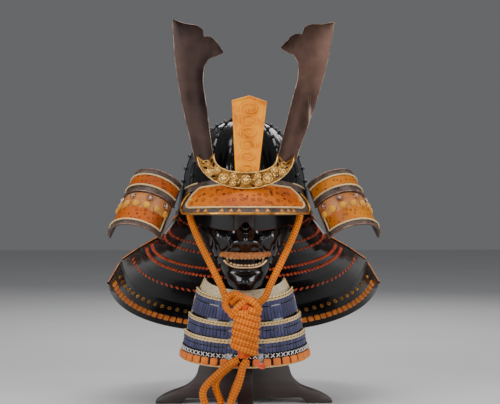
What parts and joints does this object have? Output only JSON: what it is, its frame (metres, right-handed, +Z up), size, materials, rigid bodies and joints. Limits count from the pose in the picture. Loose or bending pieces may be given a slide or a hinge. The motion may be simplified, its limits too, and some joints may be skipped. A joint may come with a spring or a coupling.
{
  "type": "samurai helmet with face mask and throat guard on a wooden stand",
  "caption": "Samurai helmet with ribbed lacquered bowl, orange leather visor, pierced horn base, tall horns, crest, spreading neck guard, warrior mask and throat guard on a cross-footed stand",
  "frame": {"origin": "middle of the bottom of the box round everything but the cord, on the table under the stand", "axes": "+Z up, the face looks along -Y, +X to the viewer's right as seen from the front"},
  "size_m": [0.474, 0.4044, 0.6492],
  "materials": {
    "black_lacquer": "glossy black lacquer over iron, polished",
    "printed_leather": "orange leather with a small dark red printed pattern",
    "grey_leather": "matt grey-brown leather border",
    "cream_leather": "cream printed leather",
    "bronze": "dark tarnished bronze plate with a bright edge",
    "gilt": "warm worn gilding",
    "tablet_gilt": "saturated golden orange gilding",
    "orange_cord": "braided orange silk cord",
    "orange_lacing": "red-orange and yellow silk lacing",
    "cream_braid": "cream and yellow braid",
    "blue_lacing": "blue-violet silk lacing over lacquered lames",
    "fur": "orange-brown hair",
    "dark_wood": "dark brown satin wood"
  },
  "bodies": {
    "root": {"bowl": "black_lacquer", "mask": "black_lacquer", "neck_lame_1": "black_lacquer", "neck_lame_2": "black_lacquer", "neck_lame_3": "black_lacquer", "neck_lame_4": "black_lacquer", "neck_lame_5": "black_lacquer", "visor": "printed_leather", "ear_plate_upper_left": "printed_leather", "ear_plate_upper_right": "printed_leather", "brow_band": "grey_leather", "ear_plate_lower_left": "grey_leather", "ear_plate_lower_right": "grey_leather", "throat_lame_1": "cream_leather", "throat_lame_2": "blue_lacing", "throat_lame_3": "blue_lacing", "throat_lame_4": "blue_lacing", "throat_lame_5": "blue_lacing", "horn_left": "bronze", "horn_right": "bronze", "crown_ring": "gilt", "visor_rim": "gilt", "visor_stud_left": "gilt", "visor_stud_right": "gilt", "horn_base": "gilt", "boss_1": "gilt", "boss_2": "gilt", "boss_3": "gilt", "boss_4": "gilt", "boss_5": "gilt", "boss_6": "gilt", "boss_7": "gilt", "boss_8": "gilt", "boss_9": "gilt", "boss_10": "gilt", "boss_11": "gilt", "rosette_left_1": "gilt", "rosette_left_2": "gilt", "rosette_left_3": "gilt", "rosette_left_4": "gilt", "rosette_right_1": "gilt", "rosette_right_2": "gilt", "rosette_right_3": "gilt", "rosette_right_4": "gilt", "upper_teeth": "gilt", "lower_teeth": "gilt", "crest_tablet": "tablet_gilt", "chin_cord": "orange_cord", "chin_knot": "orange_cord", "cord_loop_left": "orange_cord", "cord_loop_right": "orange_cord", "cord_end": "orange_cord", "moustache": "fur", "stand_side_board": "dark_wood", "stand_front_board": "dark_wood", "stand_post": "dark_wood", "head_block": "dark_wood", "mask_bracket": "dark_wood"}
  },
  "joints": []
}
